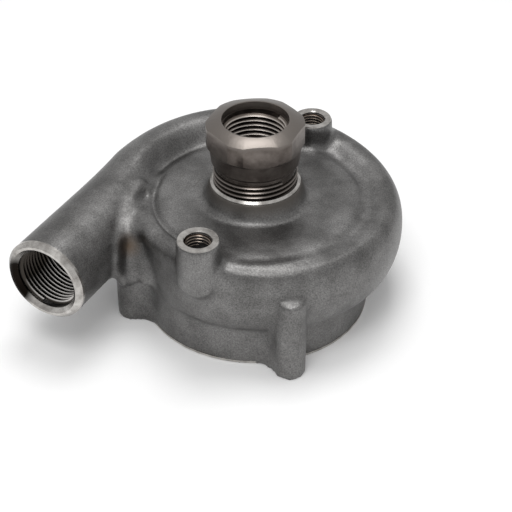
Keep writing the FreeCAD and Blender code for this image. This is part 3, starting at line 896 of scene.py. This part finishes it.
class PUMP_OT_hex_adapter(bpy.types.Operator):
    """Turn and mill the hexagon adapter, with worn edges"""
    bl_idname = "pump.hex_adapter"
    bl_label = "Hex adapter"

    def execute(self, context):
        sizes = context.scene.pump_adapter
        threads = context.scene.pump_threads
        lip = sizes.mouth + sizes.lip
        cone_z = sizes.top_z - (sizes.corner_radius - lip) * sizes.top_slope
        counterbore_z = sizes.top_z - sizes.counterbore
        thread_z = counterbore_z - mm(17.0)
        flat = sizes.across_flats / 2.0
        shank, foot_chamfer, collar_rounding = sizes.shank_root, mm(0.8), mm(1.6)
        outline = [
            (sizes.waterway, sizes.low_z), (shank - foot_chamfer, sizes.low_z),
            (shank, sizes.low_z + foot_chamfer), (shank, sizes.relief_z),
            (sizes.relief_radius, sizes.relief_z), (sizes.relief_radius, sizes.collar_z),
            (sizes.collar_low, sizes.collar_z), (sizes.collar_radius, sizes.collar_z + collar_rounding),
            (flat - mm(0.02), sizes.hex_low_z), (sizes.corner_radius, sizes.hex_full_z),
            (sizes.corner_radius, cone_z), (lip, sizes.top_z), (sizes.mouth, sizes.top_z),
            (sizes.mouth, counterbore_z), (threads.pipe_radius, counterbore_z),
            (threads.pipe_radius, thread_z), (sizes.waterway, thread_z),
        ]
        bm = spun(outline, Vector(), UP, 180)
        for number in range(6):
            way = Matrix.Rotation(sizes.turn + math.radians(60.0) * number, 3, "Z") @ Vector((1, 0, 0))
            geometry = bm.verts[:] + bm.edges[:] + bm.faces[:]
            cut = bmesh.ops.bisect_plane(
                bm, geom=geometry, dist=mm(0.001), plane_co=way * flat, plane_no=way, clear_outer=True)
            rim = [e for e in cut["geom_cut"] if isinstance(e, bmesh.types.BMEdge) and e.is_boundary]
            bmesh.ops.edgeloop_fill(bm, edges=rim)
        # Handling has worn the hexagon's edges and the lip, not the edges inside the bore
        sharp = [e for e in bm.edges if e.is_manifold and e.calc_face_angle(0.0) > math.radians(12.0)]
        high = [e for e in sharp if e.verts[0].co.z > sizes.hex_low_z - mm(1.0)]
        edges = [e for e in high if e.verts[0].co.xy.length > sizes.mouth - mm(0.1)]
        bmesh.ops.bevel(
            bm, geom=edges, offset=sizes.bevel, affect="EDGES", segments=2, profile=0.5, material=-1,
            offset_type="OFFSET", clamp_overlap=True)
        bmesh.ops.recalc_face_normals(bm, faces=bm.faces[:])
        piece = finish_piece("hex_adapter", bm, hex_stainless(sizes), 30.0)
        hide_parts(ADAPTER_NODE)
        return {"FINISHED"}


class PUMP_OT_pipe_threads(bpy.types.Operator):
    """Cut the pipe threads of the inlet, the outlet, the ports and the shank"""
    bl_idname = "pump.pipe_threads"
    bl_label = "Pipe threads"

    def execute(self, context):
        sizes = context.scene.pump_threads
        turned = context.scene.pump_turned
        adapter = context.scene.pump_adapter
        seat = mm(0.15)

        root, crest = sizes.pipe_radius - seat, sizes.pipe_radius - sizes.pipe_depth
        metal = thread_stainless(
            "thread_stainless_inlet", root, crest, sizes.inlet_root_hex, sizes.inlet_crest_hex)
        low = UP * (adapter.top_z - adapter.counterbore - mm(16.8))
        screw_thread(
            "inlet_thread", low, UP, root, crest, sizes.inlet_pitch, mm(16.4), metal)

        location = (-turned.outlet_x, turned.outlet_z, 0)
        # Painted shade darkens the outlet thread's upper wall, away from the pump
        centre = (turned.outlet_x - mm(17), turned.outlet_y + mm(14), turned.outlet_z + mm(6))
        shaded = (centre, (mm(20), mm(34), mm(26)))
        metal = thread_stainless(
            "thread_stainless_outlet", root, crest, sizes.outlet_root_hex, sizes.outlet_crest_hex, location,
            (math.radians(90.0), 0, 0), (shaded,))
        start = Vector((turned.outlet_x, turned.outlet_y + mm(29.6), turned.outlet_z))
        screw_thread(
            "outlet_thread", start, OUTLET_WAY, root, crest, sizes.outlet_pitch, mm(26.6), metal)

        root, crest = sizes.port_radius - seat, sizes.port_radius - sizes.port_depth
        for name, side in (("port_thread_front", -1), ("port_thread_back", 1)):
            location = (-turned.port_x, -side * turned.port_offset, 0)
            metal = thread_stainless(
                "thread_stainless_" + name, root, crest, sizes.port_root_hex, sizes.port_crest_hex, location)
            start = Vector((turned.port_x, side * turned.port_offset, turned.port_top - mm(13.8)))
            screw_thread(name, start, UP, root, crest, sizes.port_pitch, mm(12.8), metal)

        root, crest = adapter.shank_root + mm(0.02), sizes.shank_radius
        metal = thread_stainless(
            "thread_stainless_shank", root, crest, sizes.shank_root_hex, sizes.shank_crest_hex)
        low = UP * mm(64.0)
        screw_thread(
            "shank_thread", low, UP, root, crest, sizes.shank_pitch, mm(18.4), metal)
        return {"FINISHED"}


def aim(piece, target):
    """Turns a camera or light, which look along their own -Z, to a point."""
    piece.rotation_euler = (target - piece.location).to_track_quat("-Z", "Y").to_euler()


def soft_light(name, direction_deg, height_deg, distance, size, power, target):
    """A square studio softbox."""
    light = bpy.data.lights.new(name, "AREA")
    light.energy = power
    light.size = size
    piece = bpy.data.objects.new(name, light)
    bpy.context.scene.collection.objects.link(piece)
    turn = Matrix.Rotation(math.radians(direction_deg), 3, "Z")
    tilt = Matrix.Rotation(math.radians(-height_deg), 3, "X")
    piece.location = target + turn @ (tilt @ Vector((0, -distance, 0)))
    aim(piece, target)
    return piece


class PUMP_OT_studio(bpy.types.Operator):
    """Set the pale floor, the soft lights and the camera"""
    bl_idname = "pump.studio"
    bl_label = "Studio"

    def execute(self, context):
        sizes = context.scene.pump_studio
        bm = bmesh.new()
        bmesh.ops.create_grid(bm, x_segments=1, y_segments=1, size=2.0)
        bmesh.ops.translate(bm, verts=bm.verts[:], vec=(0, 0, cad_low.z - mm(0.1)))
        mesh = bpy.data.meshes.new("studio_floor")
        bm.to_mesh(mesh)
        bm.free()
        floor = bpy.data.objects.new("studio_floor", mesh)
        context.scene.collection.objects.link(floor)
        paper = bpy.data.materials.new("floor_paper")
        paper.use_nodes = True
        shader = paper.node_tree.nodes["Principled BSDF"]
        shader.inputs["Base Color"].default_value = linear(sizes.floor_hex)
        shader.inputs["Roughness"].default_value = 0.9
        shader.inputs["Specular IOR Level"].default_value = 0.1
        mesh.materials.append(paper)

        world = bpy.data.worlds.new("studio_room")
        world.use_nodes = True
        back = world.node_tree.nodes["Background"]
        back.inputs["Color"].default_value = linear(sizes.world_hex)
        back.inputs["Strength"].default_value = sizes.world_strength
        context.scene.world = world
        target = Vector((0, 0, mm(40)))
        camera_deg = math.degrees(sizes.azimuth)
        soft_light(
            "key_light", direction_deg=camera_deg + 180, height_deg=80, distance=0.9, size=0.4,
            power=sizes.key_power, target=target)
        soft_light(
            "front_light", direction_deg=camera_deg - 12, height_deg=62, distance=0.9, size=0.35,
            power=sizes.fill_power, target=target)

        turn = Matrix.Rotation(sizes.azimuth, 3, "Z")
        away = turn @ Matrix.Rotation(-sizes.elevation, 3, "X") @ Vector((0, -1, 0))
        aimed = UP * sizes.target_z + (turn @ Vector((1, 0, 0))) * sizes.target_right
        lens = bpy.data.cameras.new("photo_camera")
        lens.sensor_width = SENSOR_MM
        lens.lens = sizes.focal_px / PHOTO_SIDE_PX * SENSOR_MM
        lens.clip_start = 0.05
        lens.clip_end = 20.0
        camera = bpy.data.objects.new("photo_camera", lens)
        context.scene.collection.objects.link(camera)
        camera.location = aimed + away * sizes.distance
        aim(camera, aimed)
        context.scene.camera = camera
        context.scene.view_settings.view_transform = "Standard"
        return {"FINISHED"}


class PUMP_PT_casing(bpy.types.Panel):
    """The casing's steps and sizes"""
    bl_idname = "PUMP_PT_casing"
    bl_label = "Pump casing"
    bl_space_type = "VIEW_3D"
    bl_region_type = "UI"
    bl_category = "Pump"

    def draw(self, context):
        for step in STEPS:
            self.layout.operator(step.bl_idname)
        for place, group in SETTINGS:
            box = self.layout.box()
            box.label(text=group.__doc__)
            for name in group.__annotations__:
                box.prop(getattr(context.scene, place), name)


SETTINGS = (
    ("pump_casting", CastingSettings),
    ("pump_turned", TurnedSettings),
    ("pump_adapter", AdapterSettings),
    ("pump_threads", ThreadSettings),
    ("pump_studio", StudioSettings),
)
STEPS = (PUMP_OT_cast_skin, PUMP_OT_turned_faces, PUMP_OT_hex_adapter, PUMP_OT_pipe_threads, PUMP_OT_studio)


def register():
    for place, group in SETTINGS:
        bpy.utils.register_class(group)
        setattr(bpy.types.Scene, place, PointerProperty(type=group))
    for step in STEPS:
        bpy.utils.register_class(step)
    bpy.utils.register_class(PUMP_PT_casing)


def unregister():
    bpy.utils.unregister_class(PUMP_PT_casing)
    for step in reversed(STEPS):
        bpy.utils.unregister_class(step)
    for place, group in reversed(SETTINGS):
        delattr(bpy.types.Scene, place)
        bpy.utils.unregister_class(group)


def main():
    register()
    bpy.ops.pump.cast_skin()
    bpy.ops.pump.turned_faces()
    bpy.ops.pump.hex_adapter()
    bpy.ops.pump.pipe_threads()
    bpy.ops.pump.studio()


if __name__ == "__main__":
    main()
